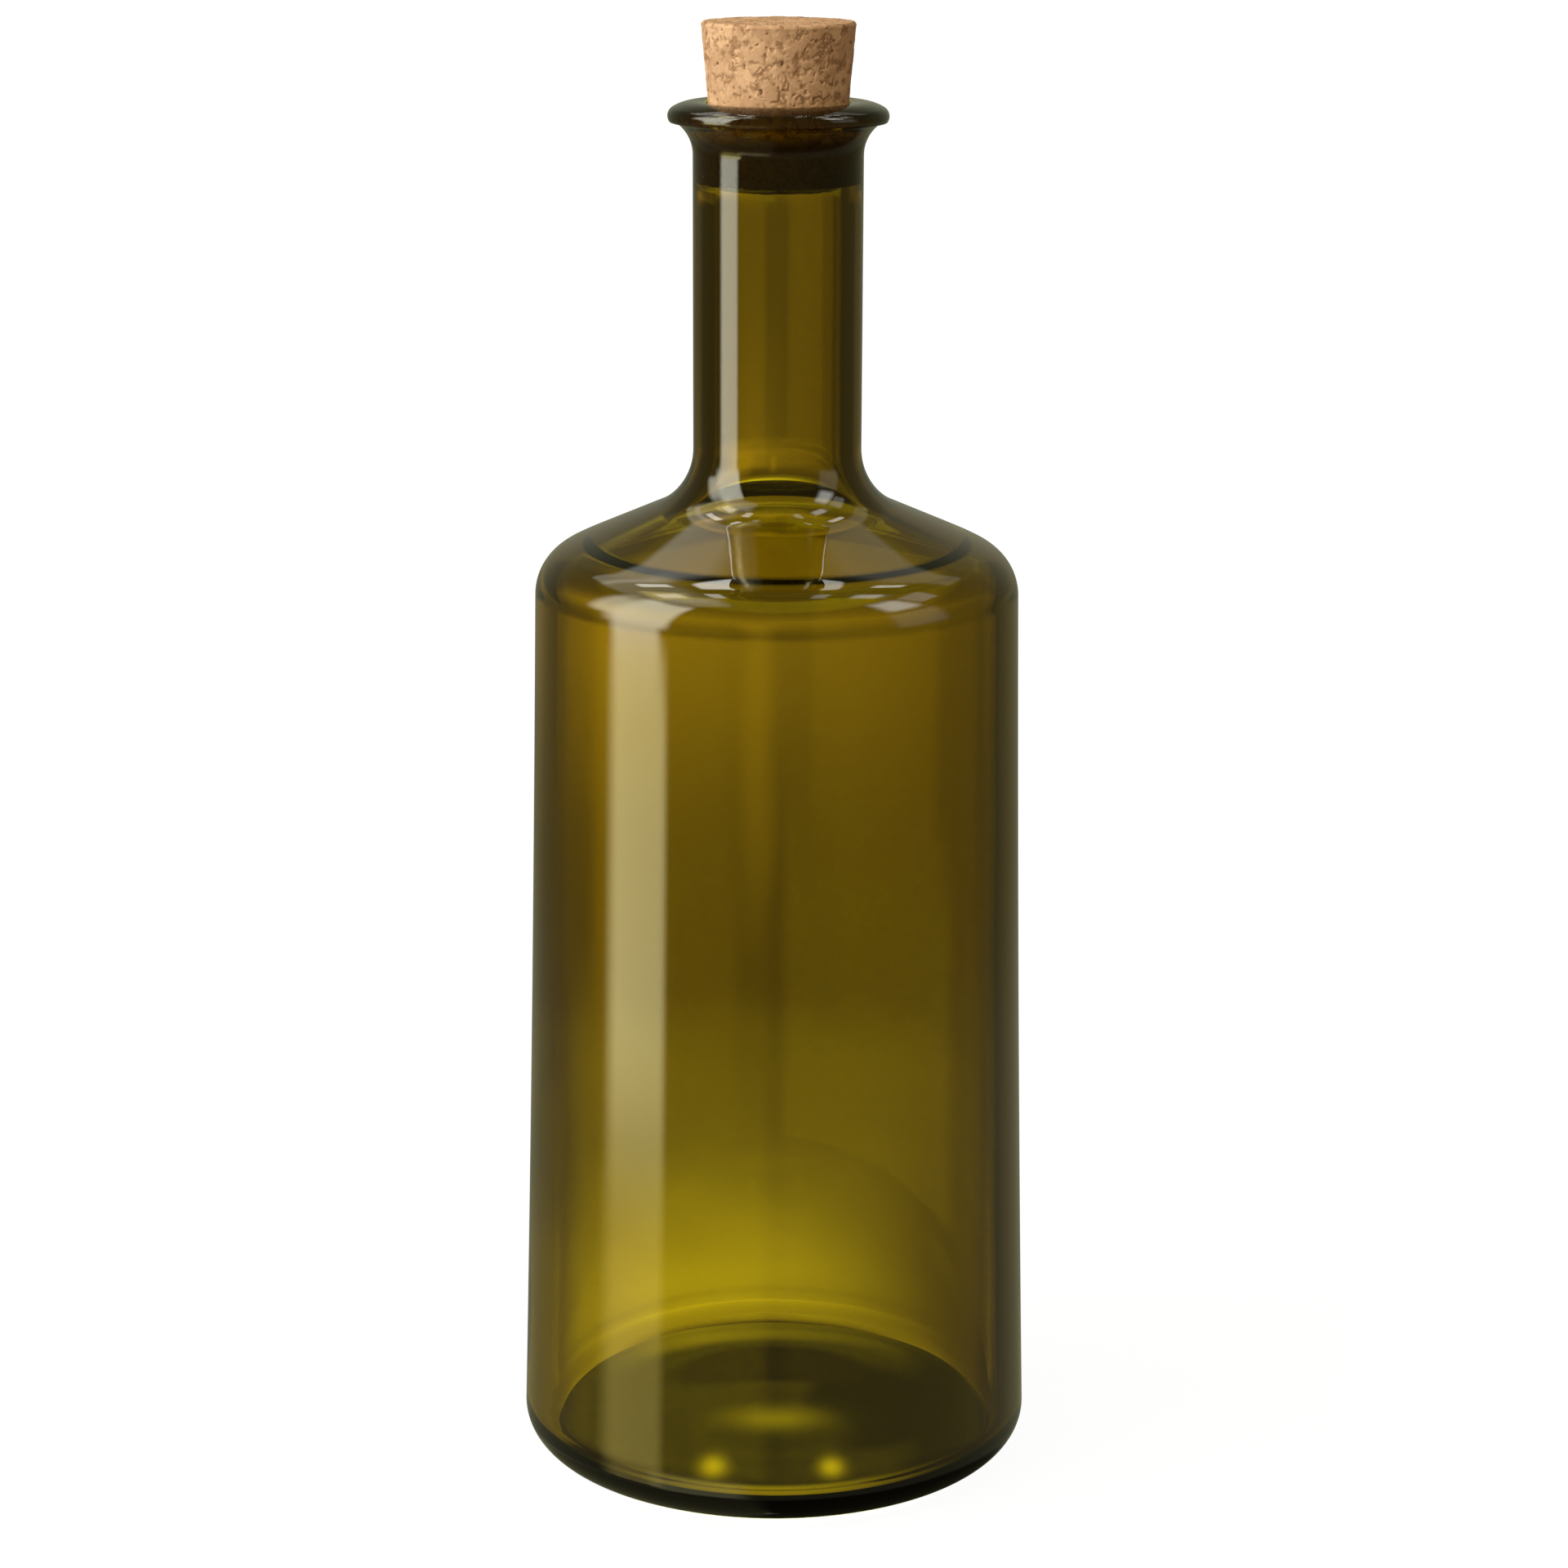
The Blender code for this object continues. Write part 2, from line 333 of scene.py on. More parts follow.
moved = add_node(lathe, "GeometryNodeSetPosition")
plug(lathe, moved.inputs["Geometry"], grid.outputs[0])
plug(lathe, moved.inputs["Position"], turned)
merged = add_node(lathe, "GeometryNodeMergeByDistance")
merged.inputs["Distance"].default_value = 0.002 * MM
plug(lathe, merged.inputs["Geometry"], moved.outputs[0])
outward_faces = add_node(lathe, "GeometryNodeFlipFaces")
plug(lathe, outward_faces.inputs[0], merged.outputs[0])
smooth = add_node(lathe, "GeometryNodeSetShadeSmooth")
plug(lathe, smooth.inputs[0], outward_faces.outputs[0])
real = add_node(lathe, "GeometryNodeRealizeInstances")
plug(lathe, real.inputs[0], smooth.outputs[0])
finished = add_node(lathe, "GeometryNodeSetMaterial")
plug(lathe, finished.inputs["Geometry"], real.outputs[0])
plug(lathe, finished.inputs["Material"], given["Finish"])
plug(lathe, add_node(lathe, "NodeGroupOutput").inputs[0], finished.outputs[0])
print("lathe:", len(lathe.nodes), "nodes")


# %% Turning a section into a plain mesh
def run_tree(name, mesh, tree, values):
    """Evaluates a node tree on a mesh once and returns the result as an object of its own."""
    source = bpy.data.objects.new(name + "_source", mesh)
    bpy.context.scene.collection.objects.link(source)
    modifier = source.modifiers.new(tree.name, "NODES")
    modifier.node_group = tree
    sockets = {s.name: s.identifier for s in tree.interface.items_tree if s.in_out == "INPUT"}
    for title, value in values.items():
        modifier[sockets[title]] = value
    graph = bpy.context.evaluated_depsgraph_get()
    made = bpy.data.meshes.new_from_object(source.evaluated_get(graph))
    made.name = name
    bpy.data.objects.remove(source)
    piece = bpy.data.objects.new(name, made)
    bpy.context.scene.collection.objects.link(piece)
    print(name, "has", len(made.polygons), "faces")
    return piece


def section_mesh(name, points, uneven_from):
    """A section as a chain of edges. Points from the given one on may be pushed by the unevenness."""
    mesh = bpy.data.meshes.new(name)
    corners = [(r, 0.0, z) for r, z in points]
    mesh.from_pydata(corners, [(i, i + 1) for i in range(len(corners) - 1)], [])
    marks = mesh.attributes.new("uneven", "FLOAT", "POINT")
    for i in range(uneven_from, len(points)):
        marks.data[i].value = 1.0
    return mesh


# %% [markdown]
# ## Olive green glass
# Bottle glass is clear, but it takes light away all along its way: nearly all of the blue, and more green than red.
# A tint painted on the surface would look the same everywhere. A volume that absorbs makes thick places darker by
# itself, such as the base, the lip and the edges, so the colour sits there.

# %% The glass
GLASS_TINT = (0.743, 0.693, 0.0, 1.0)  # what the volume lets through
GLASS_DENSITY = 700.0
glass = bpy.data.materials.new("olive_green_glass")
glass.use_nodes = True
nodes = glass.node_tree.nodes
skin = nodes["Principled BSDF"]
skin.inputs["Base Color"].default_value = (1.0, 1.0, 1.0, 1.0)
skin.inputs["Roughness"].default_value = 0.0
skin.inputs["IOR"].default_value = 1.5
skin.inputs["Transmission Weight"].default_value = 1.0
depth = nodes.new("ShaderNodeVolumeAbsorption")
depth.inputs["Color"].default_value = GLASS_TINT
depth.inputs["Density"].default_value = GLASS_DENSITY
glass.node_tree.links.new(depth.outputs[0], nodes["Material Output"].inputs["Volume"])

# %% Turn the bottle
seat_points = 8 + 1 + 12 + 1  # the mouth's rounding, the seat and the step to the bore stay even
bottle = run_tree(
    "bottle_glass",
    section_mesh("bottle_section", outside + inside, len(outside) + seat_points),
    lathe,
    {"Turn steps": 208, "Unevenness": 0.1 * MM, "Unevenness size": 18 * MM, "Finish": glass},
)
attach(bottle, "root")
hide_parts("bottle")

# %% [markdown]
# ## What pressed cork looks like
# This stopper isn't cut from bark. It is pressed from crumbs of cork and a little glue, then turned to a cone. So it
# shows granules from one to four millimetres, each in a tan of its own, darker seams where some of them meet, and
# small pits where a crumb fell out, darkened by painted shade. One pattern of Voronoi cells gives all three. It is
# written once as a function, and used twice: Geometry Nodes read it to sink the seams and pits, and the finish reads
# it for the colours.


# %% The pattern of granules, for a geometry tree or a shader tree
def texture(tree, kind, vector, scale, **settings):
    """A procedural texture on a vector, with the rest of its inputs by name."""
    node = add_node(tree, kind)
    if kind == "ShaderNodeTexVoronoi":
        node.feature = settings.pop("feature", "F1")
    plug(tree, node.inputs["Vector"], vector)
    plug(tree, node.inputs["Scale"], scale)
    for title, value in settings.items():
        plug(tree, node.inputs[title.replace("_", " ")], value)
    return node


def step(tree, value, start, end):
    """A smooth step from 0 to 1, or down from 1 to 0 where the start is past the end."""
    node = add_node(tree, "ShaderNodeMapRange", interpolation_type="SMOOTHSTEP")
    plug(tree, node.inputs["Value"], value)
    node.inputs["From Min"].default_value, node.inputs["From Max"].default_value = start, end
    return node.outputs[0]


def times(tree, *values):
    """The product of several numbers."""
    product = values[0]
    for value in values[1:]:
        product = maths(tree, "MULTIPLY", product, value)
    return product


def granules(tree, position, size):
    """Tone of the granule, its seams and its pits, each 0 to 1, for a position and a granule size in metres."""
    scaled = add_node(tree, "ShaderNodeVectorMath", operation="SCALE")
    plug(tree, scaled.inputs[0], position)
    plug(tree, scaled.inputs["Scale"], maths(tree, "DIVIDE", 1.0, size))
    place = scaled.outputs[0]
    bend = texture(tree, "ShaderNodeTexNoise", place, 1.3, Detail=2.0).outputs["Color"]
    bend = vector_maths(tree, "MULTIPLY", vector_maths(tree, "SUBTRACT", bend, (0.5, 0.5, 0.5)), (0.9, 0.9, 0.9))
    bent = vector_maths(tree, "ADD", place, bend)
    large = texture(tree, "ShaderNodeTexVoronoi", bent, 0.8)
    small = texture(tree, "ShaderNodeTexVoronoi", bent, 1.9)
    edge_large = texture(tree, "ShaderNodeTexVoronoi", bent, 0.8, feature="DISTANCE_TO_EDGE").outputs["Distance"]
    edge_small = texture(tree, "ShaderNodeTexVoronoi", bent, 1.9, feature="DISTANCE_TO_EDGE").outputs["Distance"]
    crumbly = step(tree, texture(tree, "ShaderNodeTexNoise", place, 0.55, Detail=1.0).outputs[0], 0.46, 0.56)
    open_seam = texture(tree, "ShaderNodeTexNoise", place, 1.1, Detail=2.0).outputs[0]

    tone = add_node(tree, "ShaderNodeSeparateXYZ")
    plug(tree, tone.inputs[0], large.outputs["Color"])
    crumb_tone = add_node(tree, "ShaderNodeSeparateXYZ")
    plug(tree, crumb_tone.inputs[0], small.outputs["Color"])
    blend = maths(tree, "SUBTRACT", crumb_tone.outputs[0], tone.outputs[0])
    tones = maths(tree, "MULTIPLY_ADD", blend, times(tree, crumbly, 0.8), tone.outputs[0])

    seam = times(tree, step(tree, edge_large, 0.16, 0.02), step(tree, open_seam, 0.44, 0.60))
    crumb_seam = times(tree, step(tree, edge_small, 0.17, 0.03), crumbly, step(tree, open_seam, 0.42, 0.60))
    seams = maths(tree, "MAXIMUM", seam, crumb_seam)

    hole = texture(tree, "ShaderNodeTexVoronoi", bent, 2.3)
    chosen = add_node(tree, "ShaderNodeSeparateXYZ")
    plug(tree, chosen.inputs[0], hole.outputs["Color"])
    pits = times(tree, step(tree, hole.outputs["Distance"], 0.42, 0.16), step(tree, chosen.outputs[0], 0.80, 0.86))
    return tones, seams, pits


# %% [markdown]
# ## Sinking the seams and pits
# Relief that only lives in a bump map disappears at the outline. Here the skin itself is moved, always inwards, so
# the stopper keeps its size and still fits its seat.

# %% The tree that presses the pattern in
press = new_tree(
    "press_granules",
    "GeometryNodeTree",
    [
        ("Piece", "NodeSocketGeometry", None),
        ("Granule size", "NodeSocketFloat", 0.0022),
        ("Seam depth", "NodeSocketFloat", 0.0002),
        ("Pit depth", "NodeSocketFloat", 0.0004),
        ("Unevenness", "NodeSocketFloat", 0.0001),
        ("Centre height", "NodeSocketFloat", 0.25),
        ("Finish", "NodeSocketMaterial", None),
    ],
)
press.interface.new_socket(name="Pressed", in_out="OUTPUT", socket_type="NodeSocketGeometry")
given = add_node(press, "NodeGroupInput").outputs
here = add_node(press, "GeometryNodeInputPosition").outputs[0]
tones, seams, pits = granules(press, here, given["Granule size"])
sunk = maths(press, "MULTIPLY", seams, given["Seam depth"])
sunk = maths(press, "MULTIPLY_ADD", pits, given["Pit depth"], sunk)
sunk = maths(press, "MULTIPLY_ADD", tones, given["Unevenness"], sunk)
inwards = vector_maths(press, "SUBTRACT", joined(press, 0.0, 0.0, given["Centre height"]), here)
inwards = vector_maths(press, "NORMALIZE", inwards)
shift = add_node(press, "ShaderNodeVectorMath", operation="SCALE")
plug(press, shift.inputs[0], inwards)
plug(press, shift.inputs["Scale"], sunk)
pressed = add_node(press, "GeometryNodeSetPosition")
plug(press, pressed.inputs["Geometry"], given["Piece"])
plug(press, pressed.inputs["Offset"], shift.outputs[0])
real = add_node(press, "GeometryNodeRealizeInstances")
plug(press, real.inputs[0], pressed.outputs[0])
finished = add_node(press, "GeometryNodeSetMaterial")
plug(press, finished.inputs["Geometry"], real.outputs[0])
plug(press, finished.inputs["Material"], given["Finish"])
plug(press, add_node(press, "NodeGroupOutput").inputs[0], finished.outputs[0])
print("press:", len(press.nodes), "nodes")

# %% Cork finish
GRANULE_SIZE = 2.2 * MM
DARK_TAN, LIGHT_TAN = (0.46, 0.25, 0.125), (0.80, 0.50, 0.275)
STREAK_BROWN, FLECK_BROWN = (0.40, 0.22, 0.10), (0.26, 0.13, 0.055)
# The pits' brown is painted shade for the shade inside them.
SEAM_BROWN, PIT_SHADE_BROWN = (0.30, 0.15, 0.062), (0.19, 0.09, 0.038)
NECK_SHADE_BROWN = (0.060, 0.022, 0.006)  # painted shade on the part squeezed into the neck, which the glass around it keeps in shade
cork_finish = bpy.data.materials.new("pressed_cork")
cork_finish.use_nodes = True
tree = cork_finish.node_tree
cork_skin = tree.nodes["Principled BSDF"]
cork_skin.inputs["Roughness"].default_value = 0.88
cork_skin.inputs["Specular IOR Level"].default_value = 0.25
where = add_node(tree, "ShaderNodeTexCoord").outputs["Object"]
tones, seams, pits = granules(tree, where, GRANULE_SIZE)
streaks = texture(tree, "ShaderNodeTexNoise", where, 900.0, Detail=4.0, Roughness=0.65).outputs[0]
flecks = step(tree, texture(tree, "ShaderNodeTexNoise", where, 2100.0, Detail=2.0).outputs[0], 0.60, 0.72)


def tint(low_colour, high_colour, share):
    """A colour between two, by a share from 0 to 1."""
    node = add_node(tree, "ShaderNodeMix", data_type="RGBA")
    colours = [s for s in node.inputs if s.type == "RGBA"]
    for socket, colour in zip(colours, (low_colour, high_colour)):
        plug(tree, socket, (*colour, 1.0) if isinstance(colour, tuple) else colour)
    plug(tree, node.inputs[0], share)
    return [s for s in node.outputs if s.type == "RGBA"][0]


tan = tint(DARK_TAN, LIGHT_TAN, maths(tree, "MULTIPLY_ADD", tones, 0.75, 0.25))
tan = tint(tan, STREAK_BROWN, times(tree, step(tree, streaks, 0.52, 0.70), 0.45))
tan = tint(tan, FLECK_BROWN, times(tree, flecks, 0.35))
tan = tint(tan, SEAM_BROWN, times(tree, seams, 0.75))
# Painted shade: the pits are darkened for the shade inside them, besides being sunk.
tan = tint(tan, PIT_SHADE_BROWN, times(tree, pits, 0.8))
along_cork = add_node(tree, "ShaderNodeSeparateXYZ")
plug(tree, along_cork.inputs[0], where)
# Painted shade: the cork darkens towards its lower end, where the neck's glass keeps it in shade.
neck_shade = step(tree, along_cork.outputs["Z"], GLASS_HEIGHT - 1.5 * MM, GLASS_HEIGHT - 6.5 * MM)
tan = tint(tan, NECK_SHADE_BROWN, times(tree, neck_shade, 0.93))
plug(tree, cork_skin.inputs["Base Color"], tan)

height = maths(tree, "MULTIPLY_ADD", streaks, 0.5, maths(tree, "MULTIPLY", seams, -0.7))
height = maths(tree, "MULTIPLY_ADD", pits, -1.0, height)
relief = add_node(tree, "ShaderNodeBump")
relief.inputs["Strength"].default_value = 0.5
relief.inputs["Distance"].default_value = 0.15 * MM
plug(tree, relief.inputs["Height"], height)
plug(tree, cork_skin.inputs["Normal"], relief.outputs[0])

# %% [markdown]
# ## Pressing the cork into the neck
# A gap of air between cork and glass would mirror the room and hide the cork. A real stopper is squeezed in, so
# the glass shows it as a dark band, darkened further by painted shade in the cork's finish. The hidden part is
# therefore a little wider than its seat, and the side comes back to its own cone just above the mouth.

# %% Turn the cork, then press the granules in
low, high = CORK_TOP - CORK_LENGTH, CORK_TOP
cork_section = [(0.0, low)] + straight((0.0, low), (CORK_BOTTOM_RADIUS - CORK_ROUND, low), 20)[:-1]
cork_section += arc((CORK_BOTTOM_RADIUS - CORK_ROUND, low + CORK_ROUND), CORK_ROUND, -math.pi / 2, 0, 5)
hidden_start = (cork_radius(low + MM) + CORK_GAP + CORK_PRESS, low + MM)
hidden_end = (cork_radius(GLASS_HEIGHT - 3 * MM) + CORK_GAP + CORK_PRESS, GLASS_HEIGHT - 3 * MM)
mouth_end = (cork_radius(GLASS_HEIGHT - 0.5 * MM), GLASS_HEIGHT - 0.5 * MM)
side_end = (cork_radius(high - CORK_ROUND), high - CORK_ROUND)
cork_section += straight(cork_section[-1], hidden_start, 2)
cork_section += straight(hidden_start, hidden_end, 30)
cork_section += straight(hidden_end, mouth_end, 4)
cork_section += straight(mouth_end, side_end, 76)[:-1]
cork_section += arc((CORK_TOP_RADIUS - CORK_ROUND, high - CORK_ROUND), CORK_ROUND, 0, math.pi / 2, 6)
cork_section += straight(cork_section[-1], (0.0, high), 60)
plain_cork = run_tree(
    "plain_cork",
    section_mesh("cork_section", cork_section, len(cork_section)),
    lathe,
    {"Turn steps": 420, "Finish": cork_finish},
)
plain_mesh = plain_cork.data
bpy.data.objects.remove(plain_cork)
sizes = {"Granule size": GRANULE_SIZE, "Seam depth": 0.16 * MM, "Pit depth": 0.34 * MM, "Unevenness": 0.10 * MM}
cork = run_tree(
    "cork_stopper", plain_mesh, press, {**sizes, "Centre height": (low + high) / 2, "Finish": cork_finish}
)
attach(cork, "root")
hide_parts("cork")
print("cork:", [round(v / MM, 1) for v in cork.dimensions], "mm")

# %% [markdown]
# ## Camera
# The camera stands 0.69 m away, a little above the cork, and looks down at the bottle without any lens shift. So
# the cork's top is seen as a thin ellipse and the base as a wide one, and upright lines close in towards the foot.

# %% Camera
CAMERA_BACK = 689.8 * MM
CAMERA_UP = 309.1 * MM
CAMERA_PITCH = math.radians(14.68)
CAMERA_YAW = math.radians(-0.121)
CAMERA_ROLL = math.radians(0.226)
lens = bpy.data.cameras.new("camera")
lens.sensor_width = 36.0
lens.lens = 87.96
camera = bpy.data.objects.new("camera", lens)
bpy.context.scene.collection.objects.link(camera)
aim = Matrix.Rotation(CAMERA_YAW, 3, "Z") @ Matrix.Rotation(math.pi / 2 - CAMERA_PITCH, 3, "X")
aim = aim @ Matrix.Rotation(CAMERA_ROLL, 3, "Z")
camera.location = (0.0, -CAMERA_BACK, CAMERA_UP)
camera.rotation_euler = aim.to_euler()
bpy.context.scene.camera = camera

# %% [markdown]
# ## The studio around the bottle
# Glass has hardly a look of its own: it shows the room. A studio for glass is therefore a dark room with a few
# large soft lights. Here the room is painted in the world by direction, as named shapes of light: boxes with soft
# edges, round glows and ceiling panes. That costs no geometry, and each light can be placed in degrees.
# Azimuth 0 is straight behind the bottle, negative to the left, 180 at the camera. Elevation 0 is the horizon.

# %% A direction in degrees
world = bpy.data.worlds.new("studio")
bpy.context.scene.world = world
world.use_nodes = True
world.cycles.sampling_method = "MANUAL"
world.cycles.sample_map_resolution = 256
sky = world.node_tree
sky.nodes.clear()

ray_parts = add_node(sky, "ShaderNodeSeparateXYZ")
plug(sky, ray_parts.inputs[0], add_node(sky, "ShaderNodeTexCoord").outputs["Generated"])
ray_x, ray_y, ray_z = ray_parts.outputs
azimuth = maths(sky, "DEGREES", maths(sky, "ARCTAN2", ray_x, ray_y))
elevation = maths(sky, "DEGREES", maths(sky, "ARCSINE", ray_z))
angles = joined(sky, azimuth, maths(sky, "MULTIPLY", azimuth, -1.0), elevation)
above = maths(sky, "MAXIMUM", ray_z, 0.03)
plane_x, plane_y = maths(sky, "DIVIDE", ray_x, above), maths(sky, "DIVIDE", ray_y, above)
plane = joined(sky, plane_x, maths(sky, "MULTIPLY", plane_x, -1.0), plane_y)

# %% A shape with four soft edges
# Three edges are cut at once by a vector Map Range, the fourth by a plain one. The product of the four is the shape.
EDGES = [("Place", "NodeSocketVector", None), ("Last", "NodeSocketFloat", 0.0)]
EDGES += [(name, "NodeSocketVector", None) for name in ("Fade from", "Fade to")]
EDGES += [(name, "NodeSocketFloat", 0.0) for name in ("Last from", "Last to", "Strength", "So far")]
four_edges = new_tree("four_edges", "ShaderNodeTree", EDGES)
four_edges.interface.new_socket(name="Light", in_out="OUTPUT", socket_type="NodeSocketFloat")
given = add_node(four_edges, "NodeGroupInput").outputs
three = add_node(four_edges, "ShaderNodeMapRange", data_type="FLOAT_VECTOR", interpolation_type="SMOOTHSTEP")
by_name = {s.identifier: s for s in three.inputs}
plug(four_edges, by_name["Vector"], given["Place"])
plug(four_edges, by_name["From_Min_FLOAT3"], given["Fade from"])
plug(four_edges, by_name["From_Max_FLOAT3"], given["Fade to"])
cut = add_node(four_edges, "ShaderNodeSeparateXYZ")
plug(four_edges, cut.inputs[0], [s for s in three.outputs if s.type == "VECTOR"][0])
shape = maths(four_edges, "MULTIPLY", maths(four_edges, "MULTIPLY", cut.outputs[0], cut.outputs[1]), cut.outputs[2])
last = add_node(four_edges, "ShaderNodeMapRange", interpolation_type="SMOOTHSTEP")
for title, source in (("Value", "Last"), ("From Min", "Last from"), ("From Max", "Last to")):
    plug(four_edges, last.inputs[title], given[source])
shape = maths(four_edges, "MULTIPLY", shape, last.outputs[0])
lit = maths(four_edges, "MULTIPLY_ADD", shape, given["Strength"], given["So far"])
plug(four_edges, add_node(four_edges, "NodeGroupOutput").inputs[0], lit)

# %% A round glow, with no edge
GLOW = [("Place", "NodeSocketVector", None), ("Middle", "NodeSocketVector", None), ("Reach", "NodeSocketVector", None)]
GLOW += [("Strength", "NodeSocketFloat", 0.0), ("So far", "NodeSocketFloat", 0.0)]
round_glow = new_tree("round_glow", "ShaderNodeTree", GLOW)
round_glow.interface.new_socket(name="Light", in_out="OUTPUT", socket_type="NodeSocketFloat")
given = add_node(round_glow, "NodeGroupInput").outputs
away = vector_maths(round_glow, "SUBTRACT", given["Place"], given["Middle"])
away = vector_maths(round_glow, "MULTIPLY", away, given["Reach"])
square = add_node(round_glow, "ShaderNodeVectorMath", operation="DOT_PRODUCT")
for socket in square.inputs[:2]:
    plug(round_glow, socket, away)
fade = maths(round_glow, "EXPONENT", maths(round_glow, "MULTIPLY", square.outputs["Value"], -1.0))
lit = maths(round_glow, "MULTIPLY_ADD", fade, given["Strength"], given["So far"])
plug(round_glow, add_node(round_glow, "NodeGroupOutput").inputs[0], lit)
print("shapes of light:", [(g.name, len(g.nodes)) for g in (four_edges, round_glow)])


# %% Describing a light
def soft_edges(left, right, low, high, soft, strength):
    """Sizes for four_edges. The soft widths are those of the left, right, low and high edge."""
    half = [width / 2 for width in soft]
    fade_from = (left - half[0], -right - half[1], low - half[2])
    fade_to = (left + half[0], -right + half[1], low + half[2])
    sizes = {"Fade from": fade_from, "Fade to": fade_to, "Strength": strength}
    sizes.update({"Last from": high + half[3], "Last to": high - half[3]})
    return sizes


def box(strength, left, right, bottom, top, soft=(4, 4, 4, 4)):
    """A softbox: a rectangle of azimuth and elevation, in degrees."""
    return four_edges, angles, elevation, soft_edges(left, right, bottom, top, soft, strength)


def pane(strength, left, right, near, far, soft=0.04):
    """A rectangle in a level plane overhead, in units of the plane's height."""
    return four_edges, plane, plane_y, soft_edges(left, right, near, far, (soft,) * 4, strength)


def glow(strength, middle, height, width, depth):
    """A round glow about an azimuth and an elevation."""
    sizes = {"Middle": (middle, 0.0, height), "Reach": (1 / width, 0.0, 1 / depth), "Strength": strength}
    return round_glow, angles, None, sizes


def hang(lights):
    """Adds up a family of lights in one colour and returns their strength."""
    so_far = 0.0
    for title, (tree, place, last_place, sizes) in lights.items():
        node = add_node(sky, "ShaderNodeGroup", node_tree=tree, label=title)
        plug(sky, node.inputs["Place"], place)
        if last_place is not None:
            plug(sky, node.inputs["Last"], last_place)
        for socket, value in sizes.items():
            node.inputs[socket].default_value = value
        plug(sky, node.inputs["So far"], so_far)
        so_far = node.outputs[0]
    return so_far


def coloured(families):
    """The sum of families of lights, each a colour and its lights."""
    total = (0.0, 0.0, 0.0)
    for colour, lights in families:
        node = add_node(sky, "ShaderNodeVectorMath", operation="SCALE")
        node.inputs[0].default_value = colour
        plug(sky, node.inputs["Scale"], hang(lights))
        total = vector_maths(sky, "ADD", node.outputs[0], total)
    return total


# %% [markdown]
# ## What the glass mirrors, and what is seen through it
# The outer skin of the bottle mirrors a tall softbox at the left, a window at the right and some ceiling panes. The
# light that comes through the glass is another matter: it comes from a dim wall and a brighter table behind. Matt
# surfaces, such as the cork, take a third share of light, and what the camera sees past the bottle is plain white.
# The four are kept apart with the Light Path node, so that each can be tuned without spoiling the others.

# %% Lights that the glass mirrors
white_lights = {
    "first row, pane 1": pane(6.0, -0.60, -0.38, 0.44, 0.575, 0.03),
    "first row, pane 2": pane(6.5, -0.265, -0.13, 0.38, 0.575, 0.03),
    "first row, pane 3": pane(3.9, -0.10, -0.03, 0.38, 0.575, 0.02),
    "first row, pane 4": pane(3.9, 0.04, 0.205, 0.38, 0.575, 0.02),
    "first row, pane 5": pane(4.6, 0.33, 0.50, 0.46, 0.575, 0.03),
    "second row, pane 1": pane(5.0, -0.68, -0.47, -0.02, 0.14, 0.06),
    "second row, pane 2": pane(5.5, -0.315, -0.24, -0.04, 0.15, 0.03),
    "second row, pane 3": pane(2.2, 0.155, 0.225, -0.04, 0.15, 0.03),
    "second row, pane 4": pane(4.0, 0.36, 0.54, -0.02, 0.14, 0.07),
    "second row, pane 5": pane(1.6, 0.74, 1.2, -0.02, 0.30, 0.08),
    "under the panes": pane(1.6, -0.72, -0.30, -0.42, -0.07, 0.09),
    "ceiling beside the panes": pane(1.1, -1.0, -0.36, -0.25, 0.8, 0.15),
    "far ceiling, left": pane(1.1, -0.95, -0.02, 0.66, 1.08, 0.12),
    "far ceiling, right": pane(0.45, 0.02, 0.95, 0.66, 1.08, 0.12),
    "lamp at the right": box(0.5, 76, 92, 58, 68, (6, 6, 5, 5)),
    "window": box(5.5, 96, 117, 36, 54, (10, 10, 8, 8)),
    "below the window": box(0.75, 92, 121, 6, 31, (8, 8, 8, 3)),
    "wall behind": glow(0.2, 0, 10, 46, 24),
    "pale table": box(0.06, -190, 190, -34, -16.5, (4, 4, 6, 4)),
}
green_lights = {
    "room": box(0.13, -190, 190, -30, 95, (4, 4, 10, 4)),
}
softbox_lights = {
    "softbox, high": box(8.0, -127, -93, 6, 50, (5.7, 14, 14, 8)),
    "softbox, middle": box(6.2, -123.5, -97, -11, 6, (6, 8, 2.5, 14)),
    "softbox, turned away": box(5.0, -93, -78, 14, 44, (14, 10, 8, 14)),
}
warm_lights = {
    "softbox, low": box(5.7, -127, -96.5, -17.7, -11, (5.7, 10.5, 3.4, 2.5)),
    "front of the table": box(0.9, -166, -122, -31, -23, (14, 10, 3, 2)),
    "table below": box(0.04, -190, 190, -95, -28, (4, 4, 4, 4)),
    "table below, left": box(0.14, -172, -8, -95, -30, (16, 16, 4, 4)),
}
amber_lights = {
    "softbox, foot": box(2.2, -127, -96, -22.6, -17.7, (7, 14, 1.4, 3.4)),
    "edge of the table": box(1.3, -127, -98, -27, -22.6, (8, 14, 2, 1.4)),
    "lamp at the left": box(3.8, -98, -68, 52, 66, (6, 6, 5, 5)),
}
mirrored = coloured(
    [
        ((1.0, 0.98, 0.9), white_lights),
        ((1.0, 1.0, 0.4), green_lights),
        ((1.0, 0.99, 0.8), softbox_lights),
        ((1.0, 0.94, 0.48), warm_lights),
        ((1.0, 0.8, 0.22), amber_lights),
    ]
)

